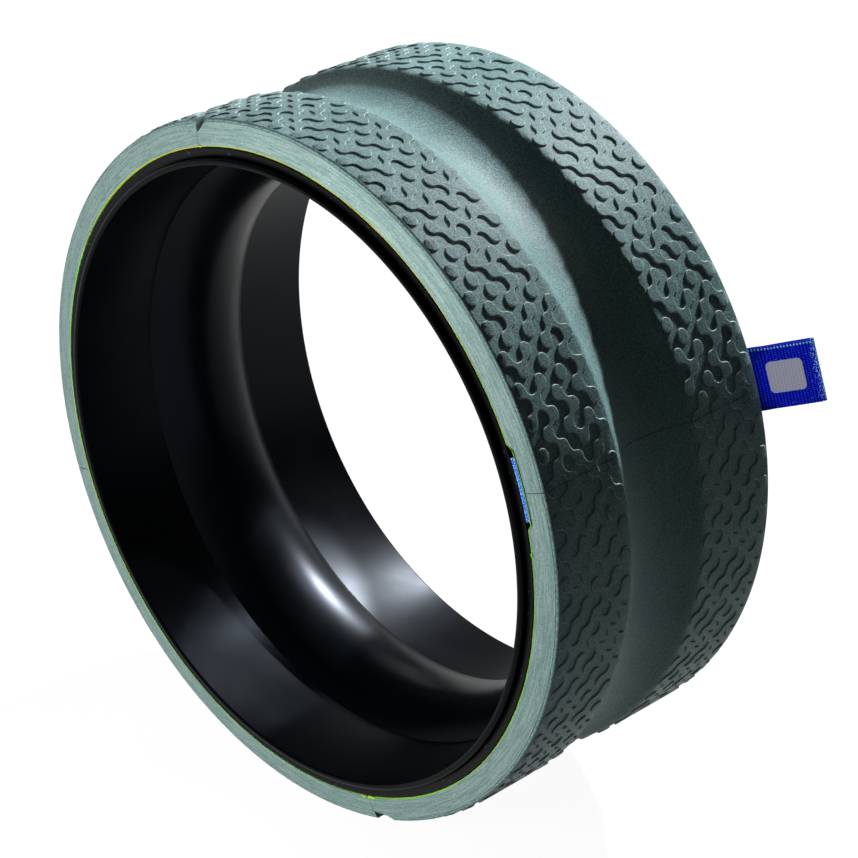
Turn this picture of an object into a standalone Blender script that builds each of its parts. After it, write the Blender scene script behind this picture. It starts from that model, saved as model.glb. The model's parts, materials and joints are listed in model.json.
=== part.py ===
"""Back roller wheel: a padded ring for rolling the back on, with a groove for the spine.

The wheel stands upright. Its axis lies along Y, the front end faces -Y and +Z is up. The origin is the
centre of the wheel, on its axis and midway between its ends. Sizes below are millimetres.
"""
import math

import bmesh
import bpy
from mathutils import Matrix, Vector

MM = 0.001
FULL_TURN = 2 * math.pi

# Clearances
SEAT_GAP = 0.3
CHANNEL_CLEARANCE = 0.5

# Foam pads
TREAD_DIAMETER = 310.0
PAD_WIDTH = 124.4
PAD_THICKNESS = 11.4
PAD_EDGE_BEVEL = 2.4
FACE_SLANT = 1.7
PAD_COUNT = 4
SEAM_ANGLE_DEG = 20.25
SEAM_GAP = 0.3
GROOVE_WIDTH = 42.4
GROOVE_DEPTH = 8.9

# Cut corners of two pads, on the front edge of the tread
NICK_LENGTH = 8.0
NICK_HEIGHT = 5.5
NICK_REACH = 5.0
CUTTER_SPARE = 1.5

# Adhesive
GLUE_THICKNESS = 0.4
GLUE_SETBACK = 0.9

# Outer hoop, whose ends lie just proud of the inner edges of the pads
HOOP_PROUD = 0.2
HOOP_WALL = 3.8
HOOP_EDGE_BEVEL = 0.5
DIP_WIDTH = 52.0
DIP_DEPTH = 5.5

# Inner liner, whose lips stand proud of the hoop
LIP_PROUD = 2.3
LINER_WALL = 2.9
LIP_EDGE_BEVEL = 0.7
SEAT_LENGTH = 14.0
DRAFT_DROP = 2.6
RIB_WIDTH = 53.2
RIB_HEIGHT = 15.3

# Ribbon
RIBBON_WIDTH = 26.0
RIBBON_PLY = 0.9
RIBBON_SHIFT = 1.5
CHANNEL_WIDTH = 35.2
CHANNEL_SHIFT = 2.5
TAG_LENGTH = 32.2
TAG_TILT_DEG = 60.8
TAG_ROOT_SLOT = 0.2
TAG_SLOT = 2.0
TAG_SLOT_OPENING_LENGTH = 23.5

# Facets
STEPS_PER_PAD = 20
GROOVE_STEPS = 8
DIP_STEPS = 4
RIB_STEPS = 8
PLY_STEPS = 6
FOLD_STEPS = 6
RIBBON_STEPS = 6
SMOOTH_ANGLE_DEG = 20
TAG_SMOOTH_ANGLE_DEG = 35

# Radii, from the tread inwards
tread_radius = TREAD_DIAMETER / 2
pad_inner_radius = tread_radius - PAD_THICKNESS
glue_outer_radius = pad_inner_radius - SEAT_GAP
glue_inner_radius = glue_outer_radius - GLUE_THICKNESS
hoop_radius = glue_inner_radius - SEAT_GAP
hoop_inner_radius = hoop_radius - HOOP_WALL
liner_radius = hoop_inner_radius - SEAT_GAP
lip_inner_radius = liner_radius - LINER_WALL
crease_radius = lip_inner_radius - DRAFT_DROP

# Ends along the axis, from the pads outwards
pad_end = PAD_WIDTH / 2
pad_inner_end = pad_end + FACE_SLANT
glue_end = pad_inner_end - GLUE_SETBACK
hoop_end = pad_inner_end + HOOP_PROUD
liner_end = hoop_end + LIP_PROUD

# Ribbon stack on the hoop
strap_inner_radius = hoop_radius + SEAT_GAP
strap_thickness = 2 * RIBBON_PLY
strap_radius = strap_inner_radius + strap_thickness / 2
channel_roof_radius = strap_inner_radius + strap_thickness + CHANNEL_CLEARANCE
tag_root_height = strap_thickness + TAG_ROOT_SLOT
tag_pivot_y = pad_inner_end + tag_root_height / 2 + SEAT_GAP

pad_angle = FULL_TURN / PAD_COUNT
seam_angle = math.radians(SEAM_ANGLE_DEG)
ribbon_angle = seam_angle + RIBBON_SHIFT / strap_radius
channel_angle = seam_angle + CHANNEL_SHIFT / channel_roof_radius


def clear_scene():
    for item in list(bpy.data.objects):
        bpy.data.objects.remove(item, do_unlink=True)


def make_material(name, color, roughness):
    material = bpy.data.materials.new(name)
    material.use_nodes = True
    shader = material.node_tree.nodes["Principled BSDF"]
    shader.inputs["Base Color"].default_value = (*color, 1.0)
    shader.inputs["Roughness"].default_value = roughness
    shader.inputs["Metallic"].default_value = 0.0
    material.diffuse_color = (*color, 1.0)
    return material


def add_object(name, mesh_source, material, smooth_angle_deg=SMOOTH_ANGLE_DEG):
    """Turn a bmesh in millimetres into a named object in metres."""
    bmesh.ops.scale(mesh_source, vec=(MM, MM, MM), verts=mesh_source.verts)
    bmesh.ops.recalc_face_normals(mesh_source, faces=mesh_source.faces)
    mesh = bpy.data.meshes.new(name)
    mesh_source.to_mesh(mesh)
    mesh_source.free()
    mesh.shade_smooth()
    mesh.set_sharp_from_angle(angle=math.radians(smooth_angle_deg))
    item = bpy.data.objects.new(name, mesh)
    bpy.context.scene.collection.objects.link(item)
    mesh.materials.append(material)
    return item


def add_cutter(name, mesh_source):
    cutter = add_object(name, mesh_source, foam)
    cutter.hide_render = True
    cutter.display_type = "WIRE"
    return cutter


def cut(item, cutter):
    modifier = item.modifiers.new("cut_" + cutter.name, "BOOLEAN")
    modifier.operation = "DIFFERENCE"
    modifier.solver = "EXACT"
    modifier.object = cutter


def on_wheel(radius, y, angle):
    """The point at a radius, a place along the axis and an angle from +X towards +Z."""
    return Vector((radius * math.cos(angle), y, radius * math.sin(angle)))


def sag_radius(width, depth):
    """The radius of an arc with this width across and this depth at its middle."""
    return (width * width / 4 + depth * depth) / (2 * depth)


def dipped(radius, width, depth, steps):
    """Profile points, front to rear, of an arc that dips inwards from a radius."""
    arc = sag_radius(width, depth)
    half_turn = math.asin(width / 2 / arc)
    points = []
    for index in range(steps + 1):
        turn = half_turn * (2 * index / steps - 1)
        height = radius - depth + arc * (1 - math.cos(turn))
        points.append((height, arc * math.sin(turn)))
    return points


def offset_dip(offset):
    """The hoop's dip, moved outwards, with the same places along the axis."""
    return [(radius + offset, y) for radius, y in dipped(hoop_radius, DIP_WIDTH, DIP_DEPTH, DIP_STEPS)]


def turned(profile, start=seam_angle, sweep=FULL_TURN, steps=PAD_COUNT * STEPS_PER_PAD):
    """Spin a closed outline of (radius, y) points about the wheel's axis."""
    solid = bmesh.new()
    corners = [solid.verts.new(on_wheel(radius, y, start)) for radius, y in profile]
    edges = [solid.edges.new((corners[index - 1], corners[index])) for index in range(len(corners))]
    full_turn = sweep == FULL_TURN
    last = bmesh.ops.spin(
        solid,
        geom=corners + edges,
        cent=(0, 0, 0),
        axis=(0, -1, 0),
        angle=sweep,
        steps=steps,
        use_merge=full_turn,
    )["geom_last"]
    if not full_turn:
        solid.faces.new(corners)
        bmesh.ops.edgenet_fill(solid, edges=[part for part in last if isinstance(part, bmesh.types.BMEdge)])
    return solid


def pad_profile():
    """The outline of a pad. Each sliced end leans outwards from the tread to the hoop."""
    bevel = PAD_EDGE_BEVEL
    front = [
        (pad_inner_radius, -pad_inner_end),
        (tread_radius - bevel, -pad_end),
        (tread_radius, -pad_end + bevel),
    ]
    rear = [(radius, -y) for radius, y in reversed(front)]
    groove = dipped(tread_radius, GROOVE_WIDTH, GROOVE_DEPTH, GROOVE_STEPS)
    glued = list(reversed(offset_dip(pad_inner_radius - hoop_radius)))
    return front + groove + rear + glued


def strip_profile(inner_offset, thickness, front, rear):
    """The outline of a layer that lies on the hoop and follows its dip."""
    outer_offset = inner_offset + thickness
    outer = [(hoop_radius + outer_offset, front)] + offset_dip(outer_offset)
    outer.append((hoop_radius + outer_offset, rear))
    inner = [(hoop_radius + inner_offset, front)] + offset_dip(inner_offset)
    inner.append((hoop_radius + inner_offset, rear))
    return outer + list(reversed(inner))


def hoop_profile():
    bevel = HOOP_EDGE_BEVEL
    front = [(hoop_radius - bevel, -hoop_end), (hoop_radius, -hoop_end + bevel)]
    rear = [(radius, -y) for radius, y in reversed(front)]
    inner = [(hoop_inner_radius, hoop_end)]
    inner += list(reversed(offset_dip(-HOOP_WALL)))
    inner.append((hoop_inner_radius, -hoop_end))
    return front + offset_dip(0.0) + rear + inner


def rib_arc(extra):
    """The rounded rib that faces the bore, front to rear, thickened outwards by a wall."""
    arc = sag_radius(RIB_WIDTH, RIB_HEIGHT)
    centre = crease_radius - RIB_HEIGHT + arc
    half_turn = math.asin(RIB_WIDTH / 2 / arc)
    points = []
    for index in range(RIB_STEPS + 1):
        turn = half_turn * (2 * index / RIB_STEPS - 1)
        points.append((centre - (arc - extra) * math.cos(turn), (arc - extra) * math.sin(turn)))
    return points


def liner_profile():
    """Lip, drafted wall and rib on the bore side, and the same shape a wall further out behind it."""
    bevel = LIP_EDGE_BEVEL
    lip = [
        (liner_radius, -liner_end),
        (lip_inner_radius + bevel, -liner_end),
        (lip_inner_radius, -liner_end + bevel),
    ]
    other_lip = [(radius, -y) for radius, y in reversed(lip)]
    rib = rib_arc(0.0)
    back = rib_arc(LINER_WALL)
    back_edge = (crease_radius + LINER_WALL, RIB_WIDTH / 2)
    seat_edge = (liner_radius, liner_end - SEAT_LENGTH)
    outer = [seat_edge, back_edge] + list(reversed(back[1:-1]))
    outer += [(back_edge[0], -back_edge[1]), (seat_edge[0], -seat_edge[1])]
    return lip + rib + other_lip + outer


def nick_cutter(name, angle, direction):
    """A three-sided pyramid that takes the front corner off a pad beside its seam."""
    spare = CUTTER_SPARE
    front = -pad_end - spare
    start = angle - direction * spare / tread_radius
    far = angle + direction * (NICK_LENGTH + spare) / tread_radius
    corners = [
        on_wheel(tread_radius - NICK_HEIGHT - spare, front, start),
        on_wheel(tread_radius + spare, front, far),
        on_wheel(tread_radius + 2 * spare, front, start),
        on_wheel(tread_radius + spare, -pad_end + NICK_REACH + spare, start),
    ]
    solid = bmesh.new()
    verts = [solid.verts.new(corner) for corner in corners]
    for first, second, third in ((0, 1, 2), (0, 1, 3), (1, 2, 3), (0, 2, 3)):
        solid.faces.new((verts[first], verts[second], verts[third]))
    return add_cutter(name, solid)


def channel_cutter(name, margin):
    """The space that the folded ribbon takes out of the glue and of the glued faces of the pads."""
    half_angle = (CHANNEL_WIDTH / 2 + margin) / channel_roof_radius
    inner_offset = SEAT_GAP / 2
    depth = channel_roof_radius - hoop_radius - inner_offset
    reach = pad_inner_end + CUTTER_SPARE
    profile = strip_profile(inner_offset, depth, -reach, reach)
    solid = turned(profile, channel_angle - half_angle, 2 * half_angle, RIBBON_STEPS)
    return add_cutter(name, solid)


def add_foam_pads():
    profile = pad_profile()
    half_gap = SEAM_GAP / 2 / tread_radius
    pads = []
    for index in range(PAD_COUNT):
        start = seam_angle + index * pad_angle + half_gap
        solid = turned(profile, start, pad_angle - 2 * half_gap, STEPS_PER_PAD)
        pads.append(add_object("foam_pad_%d" % (index + 1), solid, foam))
    first = pads[0]
    last = pads[-1]
    channel = channel_cutter("pad_channel", 0.0)
    cut(first, channel)
    cut(last, channel)
    cut(first, nick_cutter("nick_first", seam_angle + pad_angle, -1))
    cut(last, nick_cutter("nick_last", seam_angle - pad_angle, 1))


def add_glue_films():
    """One film for each pad. Beside the ribbon a film stops just outside the channel."""
    profile = strip_profile(SEAT_GAP, GLUE_THICKNESS, -glue_end, glue_end)
    half_gap = SEAM_GAP / 2 / tread_radius
    films = []
    for index in range(PAD_COUNT):
        start = seam_angle + index * pad_angle + half_gap
        solid = turned(profile, start, pad_angle - 2 * half_gap, STEPS_PER_PAD)
        films.append(add_object("glue_film_%d" % (index + 1), solid, glue))
    channel = channel_cutter("glue_channel", SEAT_GAP)
    cut(films[0], channel)
    cut(films[-1], channel)


def add_core():
    add_object("outer_hoop", turned(hoop_profile()), hoop_plastic)
    add_object("inner_liner", turned(liner_profile()), liner_plastic)


def add_ribbon_strap():
    """Two plies of ribbon on the hoop, from the front edge of the pads to the foot of the tag."""
    half_angle = RIBBON_WIDTH / 2 / strap_radius
    profile = strip_profile(SEAT_GAP, strap_thickness, -pad_inner_end + SEAT_GAP, pad_inner_end)
    solid = turned(profile, ribbon_angle - half_angle, 2 * half_angle, RIBBON_STEPS)
    add_object("ribbon_strap", solid, ribbon)


def tag_half_slot(x):
    """Half the space between the plies, which opens slowly from the foot towards the fold."""
    share = min(1.0, x / TAG_SLOT_OPENING_LENGTH)
    eased = share * share * (3 - 2 * share)
    return TAG_ROOT_SLOT / 2 + eased * (TAG_SLOT - TAG_ROOT_SLOT) / 2


def tag_side(extra):
    """One side of the folded outline, from the foot of one ply round the fold to the foot of the other."""
    fold_radius = TAG_SLOT / 2 + extra
    straight = TAG_LENGTH - TAG_SLOT / 2 - RIBBON_PLY
    points = []
    for index in range(PLY_STEPS):
        x = straight * index / PLY_STEPS
        points.append((x, tag_half_slot(x) + extra))
    for index in range(FOLD_STEPS + 1):
        turn = math.pi * index / FOLD_STEPS
        points.append((straight + fold_radius * math.sin(turn), fold_radius * math.cos(turn)))
    mirrored = [(x, -height) for x, height in reversed(points[:PLY_STEPS])]
    return points + mirrored


def add_tag_loop():
    """The fold of the ribbon. Its own X runs out along the tag, its Y across it, and its origin is the bend."""
    outline = tag_side(RIBBON_PLY) + list(reversed(tag_side(0.0)))
    solid = bmesh.new()
    verts = [solid.verts.new((x, -RIBBON_WIDTH / 2, height)) for x, height in outline]
    face = solid.faces.new(verts)
    moved = bmesh.ops.extrude_face_region(solid, geom=[face])["geom"]
    across = [part for part in moved if isinstance(part, bmesh.types.BMVert)]
    bmesh.ops.translate(solid, vec=(0, RIBBON_WIDTH, 0), verts=across)
    tag = add_object("tag_loop", solid, ribbon, TAG_SMOOTH_ANGLE_DEG)
    tilt = math.radians(TAG_TILT_DEG)
    outwards = on_wheel(1.0, 0.0, ribbon_angle)
    axial = Vector((0, 1, 0))
    along = axial * math.cos(tilt) + outwards * math.sin(tilt)
    normal = outwards * math.cos(tilt) - axial * math.sin(tilt)
    across_tag = normal.cross(along)
    turn = Matrix((along, across_tag, normal)).transposed()
    tag.rotation_euler = turn.to_euler()
    tag.location = on_wheel(strap_radius, tag_pivot_y, ribbon_angle) * MM


clear_scene()
foam = make_material("sage_foam", (0.22, 0.35, 0.33), 0.75)
glue = make_material("yellow_green_adhesive", (0.45, 0.75, 0.12), 0.4)
hoop_plastic = make_material("black_hoop_plastic", (0.012, 0.013, 0.015), 0.4)
liner_plastic = make_material("black_liner_plastic", (0.016, 0.017, 0.02), 0.32)
ribbon = make_material("blue_grosgrain", (0.005, 0.015, 0.5), 0.6)
add_core()
add_foam_pads()
add_glue_films()
add_ribbon_strap()
add_tag_loop()
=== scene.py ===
import json
import math
import random

import bmesh
import bpy
from mathutils import Matrix, Vector, noise


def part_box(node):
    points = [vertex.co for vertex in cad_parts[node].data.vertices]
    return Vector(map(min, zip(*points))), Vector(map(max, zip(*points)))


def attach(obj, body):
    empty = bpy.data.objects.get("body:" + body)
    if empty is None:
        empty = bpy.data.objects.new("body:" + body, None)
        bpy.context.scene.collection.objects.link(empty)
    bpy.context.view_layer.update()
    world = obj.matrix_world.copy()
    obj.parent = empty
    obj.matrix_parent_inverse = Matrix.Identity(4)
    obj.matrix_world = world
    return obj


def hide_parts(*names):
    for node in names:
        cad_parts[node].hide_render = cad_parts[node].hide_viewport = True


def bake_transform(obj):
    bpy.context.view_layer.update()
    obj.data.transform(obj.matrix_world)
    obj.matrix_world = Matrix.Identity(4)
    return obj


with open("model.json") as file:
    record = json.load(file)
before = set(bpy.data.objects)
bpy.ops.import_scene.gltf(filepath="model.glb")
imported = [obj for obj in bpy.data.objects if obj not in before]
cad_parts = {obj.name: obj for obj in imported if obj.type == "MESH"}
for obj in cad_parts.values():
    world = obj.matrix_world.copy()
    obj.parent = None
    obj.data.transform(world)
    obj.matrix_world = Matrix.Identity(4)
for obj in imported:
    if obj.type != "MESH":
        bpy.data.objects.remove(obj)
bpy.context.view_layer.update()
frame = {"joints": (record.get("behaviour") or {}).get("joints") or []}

# Camera
# A long lens looks at the wheel from the front, the right and above. The wheel's centre sits a little
# left of the middle of the picture.
CAMERA_AZIMUTH = math.radians(45.50)
CAMERA_ELEVATION = math.radians(28.55)
CAMERA_ROLL = math.radians(0.535)
CAMERA_DISTANCE = 1.2495
CAMERA_RIGHT = 0.01367
CAMERA_UP = 0.00041
CAMERA_LENS = 122.52
CAMERA_SENSOR = 36.0

back = Vector((
    math.sin(CAMERA_AZIMUTH) * math.cos(CAMERA_ELEVATION),
    -math.cos(CAMERA_AZIMUTH) * math.cos(CAMERA_ELEVATION),
    math.sin(CAMERA_ELEVATION),
))
level_right = Vector((0, 0, 1)).cross(back).normalized()
level_up = back.cross(level_right)
right = level_right * math.cos(CAMERA_ROLL) + level_up * math.sin(CAMERA_ROLL)
up = level_up * math.cos(CAMERA_ROLL) - level_right * math.sin(CAMERA_ROLL)
bpy.ops.object.camera_add()
camera = bpy.context.object
camera.matrix_world = Matrix.Translation(
    back * CAMERA_DISTANCE + right * CAMERA_RIGHT + up * CAMERA_UP
) @ Matrix((right, up, back)).transposed().to_4x4()
camera.data.sensor_width = CAMERA_SENSOR
camera.data.lens = CAMERA_LENS
bpy.context.scene.camera = camera
bpy.context.scene.view_settings.view_transform = "Standard"


# Outer hoop
# A hoop of black ABS, turned flat at its ends, which carries the foam. Its end slopes in towards the liner,
# and its middle dips so that the foam keeps its thickness under the groove.
FULL_TURN = 2 * math.pi
RING_STEPS = 288
WELD = 0.000005
HOOP_WALL = 0.0038
HOOP_END_SLOPE = 0.0007
HOOP_CORNER = 0.0004
DIP_HALF_WIDTH = 0.026
DIP_DEPTH = 0.0055
# The solids' rings have 80 flat sides, so a radius that is read from a box is short by this share.
CAD_SIDES = 80
FACET_SHRINK = math.cos(math.pi / CAD_SIDES)
hoop_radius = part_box("outer_hoop")[1].x / FACET_SHRINK
hoop_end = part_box("outer_hoop")[1].y


def linear(code):
    """An sRGB hex colour as linear red, green, blue and alpha."""
    channels = [int(code[start:start + 2], 16) / 255 for start in (1, 3, 5)]
    curve = [c / 12.92 if c <= 0.04045 else ((c + 0.055) / 1.055) ** 2.4 for c in channels]
    return (*curve, 1.0)


def new_material(name):
    """A material with a Principled shader. Returns the material and the shader."""
    material = bpy.data.materials.new(name)
    material.use_nodes = True
    return material, material.node_tree.nodes["Principled BSDF"]


def node(material, kind, inputs=None, **settings):
    """Adds a node with its settings, and sets or links its inputs."""
    item = material.node_tree.nodes.new("ShaderNode" + kind)
    for name, value in settings.items():
        setattr(item, name, value)
    for key, value in (inputs or {}).items():
        if isinstance(value, bpy.types.NodeSocket):
            material.node_tree.links.new(value, item.inputs[key])
        else:
            item.inputs[key].default_value = value
    return item


def wheel_coordinates(material):
    """Sockets for the distance from the wheel's axis, and for the turn about it in radians."""
    place = node(material, "TexCoord").outputs["Object"]
    axes = node(material, "SeparateXYZ", {0: place})
    turn = node(material, "Math", {0: axes.outputs["Z"], 1: axes.outputs["X"]}, operation="ARCTAN2")
    across = node(material, "Math", {0: axes.outputs["X"], 1: axes.outputs["X"]}, operation="MULTIPLY")
    squares = node(
        material, "Math",
        {0: axes.outputs["Z"], 1: axes.outputs["Z"], 2: across.outputs[0]},
        operation="MULTIPLY_ADD",
    )
    radius = node(material, "Math", {0: squares.outputs[0]}, operation="SQRT")
    return radius.outputs[0], turn.outputs[0]


def turned_ring(name, outline, start=0.0, sweep=FULL_TURN, steps=RING_STEPS, smooth=35):
    """Spins a closed outline of (radius, y) points about the wheel's axis, and caps a part turn's ends."""
    bpy.ops.object.select_all(action="DESELECT")
    bpy.ops.mesh.primitive_circle_add(vertices=len(outline))
    ring = bpy.context.object
    ring.name = name
    for vertex, (radius, y) in zip(ring.data.vertices, outline):
        vertex.co = (radius * math.cos(start), y, radius * math.sin(start))
    bpy.ops.object.mode_set(mode="EDIT")
    bpy.ops.mesh.select_all(action="SELECT")
    bpy.ops.mesh.spin(steps=steps, angle=sweep, center=(0, 0, 0), axis=(0, 1, 0))
    bpy.ops.mesh.select_all(action="SELECT")
    bpy.ops.mesh.remove_doubles(threshold=WELD)
    bpy.ops.mesh.select_all(action="DESELECT")
    bpy.ops.mesh.select_non_manifold(extend=False)
    bpy.ops.mesh.fill_holes(sides=0)
    bpy.ops.mesh.select_all(action="SELECT")
    bpy.ops.mesh.normals_make_consistent(inside=False)
    bpy.ops.object.mode_set(mode="OBJECT")
    bpy.ops.object.shade_smooth_by_angle(angle=math.radians(smooth))
    return ring


def dip(y):
    """How far the hoop's middle dips at a place along the axis."""
    arc = (DIP_HALF_WIDTH ** 2 + DIP_DEPTH ** 2) / (2 * DIP_DEPTH)
    if abs(y) >= DIP_HALF_WIDTH:
        return 0.0
    return DIP_DEPTH - arc + math.sqrt(arc * arc - y * y)


def dipped_line(radius, end, steps=24):
    """Points at a radius from the front end to the rear end, which follow the hoop's dip."""
    places = [-end] + [DIP_HALF_WIDTH * (2 * i / steps - 1) for i in range(steps + 1)] + [end]
    return [(radius - dip(y), y) for y in places]


def rounded_corner(centre, radius, first_deg, last_deg, steps=5):
    """Points on an arc about a (radius, y) centre. Zero degrees points outwards and 90 to the rear."""
    turns = [math.radians(first_deg + (last_deg - first_deg) * i / steps) for i in range(steps + 1)]
    return [(centre[0] + radius * math.cos(t), centre[1] + radius * math.sin(t)) for t in turns]


hoop_inner = hoop_radius - HOOP_WALL
hoop_front = rounded_corner((hoop_radius - HOOP_CORNER, -hoop_end + HOOP_CORNER), HOOP_CORNER, -90, 0)
hoop_rear = [(r, -y) for r, y in reversed(hoop_front)]
hoop_outline = hoop_front + dipped_line(hoop_radius, hoop_end)[1:-1] + hoop_rear
hoop_outline += list(reversed(dipped_line(hoop_inner, hoop_end - HOOP_END_SLOPE)))
outer_hoop = turned_ring("outer_hoop_ring", hoop_outline)
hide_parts("outer_hoop")
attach(outer_hoop, "wheel")

# Moulded black ABS, turned at its ends: satin, with faint turning lines and a few specks of dust. The lines
# are 0.7 mm apart, coarser than real ones, so that they show.
TURNING_PITCH = 0.0007
GRAINS_PER_METRE = 1800.0
DUST_PER_METRE = 420.0
abs_black, shader = new_material("turned_black_abs")
place = node(abs_black, "TexCoord").outputs["Object"]
radius = wheel_coordinates(abs_black)[0]
lines = node(abs_black, "Math", {0: radius, 1: FULL_TURN / TURNING_PITCH}, operation="MULTIPLY")
ripple = node(abs_black, "Math", {0: lines.outputs[0]}, operation="SINE")
grain = node(abs_black, "TexNoise", {"Vector": place, "Scale": GRAINS_PER_METRE, "Detail": 3.0})
surface = node(
    abs_black, "Math",
    {0: ripple.outputs[0], 1: 0.25, 2: grain.outputs["Fac"]},
    operation="MULTIPLY_ADD",
)
bump = node(abs_black, "Bump", {"Height": surface.outputs[0], "Strength": 0.25, "Distance": 0.00006})
abs_black.node_tree.links.new(bump.outputs[0], shader.inputs["Normal"])
dust = node(abs_black, "TexNoise", {"Vector": place, "Scale": DUST_PER_METRE, "Detail": 0.0})
speck = node(abs_black, "ValToRGB", {"Fac": dust.outputs["Fac"]})
speck.color_ramp.elements[0].position = 0.76
speck.color_ramp.elements[0].color = linear("#060708")
speck.color_ramp.elements[1].position = 0.80
speck.color_ramp.elements[1].color = linear("#2c2e30")
abs_black.node_tree.links.new(speck.outputs["Color"], shader.inputs["Base Color"])
shader.inputs["Roughness"].default_value = 0.36
shader.inputs["Specular IOR Level"].default_value = 0.08
outer_hoop.data.materials.append(abs_black)


# Inner liner
# A moulded liner of glossier black plastic, pressed into the hoop. A thin rounded lip stands proud of the
# hoop, the wall behind it tapers to a sharp crease, and a rounded rib faces the bore.
LINER_WALL = 0.0029
LIP_SHOULDER = 0.0013
LIP_NOSE = 0.0011
DRAFT_DROP = 0.0026
RIB_HALF_WIDTH = 0.0266
RIB_HEIGHT = 0.0153
SEAT_LENGTH = 0.014
liner_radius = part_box("inner_liner")[1].x / FACET_SHRINK
liner_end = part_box("inner_liner")[1].y
lip_inner = liner_radius - LINER_WALL
crease_radius = lip_inner - DRAFT_DROP


def rib_line(extra, steps=36):
    """The rib's arc from front to rear, thickened outwards by a wall."""
    arc = (RIB_HALF_WIDTH ** 2 + RIB_HEIGHT ** 2) / (2 * RIB_HEIGHT)
    centre = crease_radius - RIB_HEIGHT + arc
    half_turn = math.asin(RIB_HALF_WIDTH / arc)
    turns = [half_turn * (2 * i / steps - 1) for i in range(steps + 1)]
    return [(centre - (arc - extra) * math.cos(t), (arc - extra) * math.sin(t)) for t in turns]


lip_front = rounded_corner((liner_radius - LIP_SHOULDER, -liner_end + LIP_SHOULDER), LIP_SHOULDER, 0, -90)
lip_front += rounded_corner((lip_inner + LIP_NOSE, -liner_end + LIP_NOSE), LIP_NOSE, -90, -180)
lip_rear = [(r, -y) for r, y in reversed(lip_front)]
seat = (liner_radius, liner_end - SEAT_LENGTH)
wall_back = (crease_radius + LINER_WALL, RIB_HALF_WIDTH)
liner_outline = lip_front + rib_line(0.0) + lip_rear + [seat, wall_back]
liner_outline += list(reversed(rib_line(LINER_WALL)[1:-1]))
liner_outline += [(wall_back[0], -wall_back[1]), (seat[0], -seat[1])]
inner_liner = turned_ring("inner_liner_ring", liner_outline, smooth=25)
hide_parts("inner_liner")
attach(inner_liner, "wheel")

# Injection-moulded black ABS, polished in the mould: a soft gloss over a faint orange peel, and hazier in
# patches some centimetres across.
PEEL_PER_METRE = 90.0
HAZE_PER_METRE = 17.0
moulded_black, shader = new_material("moulded_black_abs")
place = node(moulded_black, "TexCoord").outputs["Object"]
peel = node(moulded_black, "TexNoise", {"Vector": place, "Scale": PEEL_PER_METRE, "Detail": 4.0})
bump = node(moulded_black, "Bump", {"Height": peel.outputs["Fac"], "Strength": 0.12, "Distance": 0.0002})
moulded_black.node_tree.links.new(bump.outputs[0], shader.inputs["Normal"])
haze = node(moulded_black, "TexNoise", {"Vector": place, "Scale": HAZE_PER_METRE, "Detail": 4.0})
smear = node(moulded_black, "MapRange", {"Value": haze.outputs["Fac"], 1: 0.30, 2: 0.70, 3: 0.24, 4: 0.39})
moulded_black.node_tree.links.new(smear.outputs[0], shader.inputs["Roughness"])
shader.inputs["Base Color"].default_value = linear("#030405")
shader.inputs["Specular Tint"].default_value = linear("#d8e6ff")
shader.inputs["Specular IOR Level"].default_value = 0.065
inner_liner.data.materials.append(moulded_black)


# Foam pads
# Four pads of moulded foam, a quarter turn each, butted end to end and glued round the hoop. The tread
# carries a moulded maze of raised and sunk paths, the groove for the spine is plain, and a blade has sliced
# the faces.
SEAM_ANGLE = math.radians(20.25)
SEAM_GAP = 0.00026
SEAM_WAVE = 0.0004
PAD_COUNT = 4
PAD_THICKNESS = 0.0117
FACE_SLANT = 0.0017
TREAD_RELIEF = 0.0007
TILES_ROUND = 37
TILE_ROWS = 6
TILE_SEED = 310
FACE_ROUND = 0.0012
FACE_LINE = 0.00035
OUTER_ROW_INSET = 0.0041
INNER_ROW_OFFSET = 0.0031
GROOVE_ARC = 0.0297
GROOVE_DEPTH = 0.0089
GROOVE_ROUND = 0.0020
GROOVE_STEPS = 26
ROUNDING_STEPS = 4
FACE_SHARES = (0.0, 0.33, 0.67, 1.0)
PAD_WELD = 0.000002
SEAM_TOLERANCE = 0.00001
ARC_STEPS = 6
# The rings of a wall from its top to its foot: the offset in tiles, the height, and the share of painted
# highlight.
WALL_RINGS = (
    (-0.070, 1.0, 0.0), (-0.050, 0.95, 0.9), (-0.032, 0.84, 1.0), (-0.014, 0.60, 0.5), (0.008, 0.0, 0.0),
)
EDGE_STRIP = 0.055
HALF_ROW = 0.5 + EDGE_STRIP
RELIEF_END = 0.0610
RELIEF_FADE = 0.0018
SKIN, SLICED, TORN = range(3)
tread_radius = -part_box("foam_pad_3")[0].z
base_radius = tread_radius - TREAD_RELIEF
pad_inner_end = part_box("foam_pad_3")[1].y
pad_end = pad_inner_end - FACE_SLANT
pad_inner = tread_radius / FACET_SHRINK - PAD_THICKNESS
groove_centre = tread_radius - GROOVE_DEPTH + GROOVE_ARC
round_y = math.sqrt((GROOVE_ARC + GROOVE_ROUND) ** 2 - (groove_centre - base_radius + GROOVE_ROUND) ** 2)
outer_row = pad_end - OUTER_ROW_INSET
inner_row = round_y + INNER_ROW_OFFSET
row_pitch = (outer_row - inner_row) / TILE_ROWS


def base_height(y):
    """The radius of the pad's low level at a place along the axis, with its rounded edges and groove."""
    y = abs(y)
    to_face = y - (pad_end - FACE_ROUND)
    if to_face > 0:
        return base_radius - FACE_ROUND + math.sqrt(max(0.0, FACE_ROUND ** 2 - to_face ** 2))
    if y >= round_y:
        return base_radius
    blend_y = round_y * GROOVE_ARC / (GROOVE_ARC + GROOVE_ROUND)
    if y >= blend_y:
        return base_radius - GROOVE_ROUND + math.sqrt(GROOVE_ROUND ** 2 - (round_y - y) ** 2)
    return groove_centre - math.sqrt(GROOVE_ARC ** 2 - y ** 2)


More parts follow.
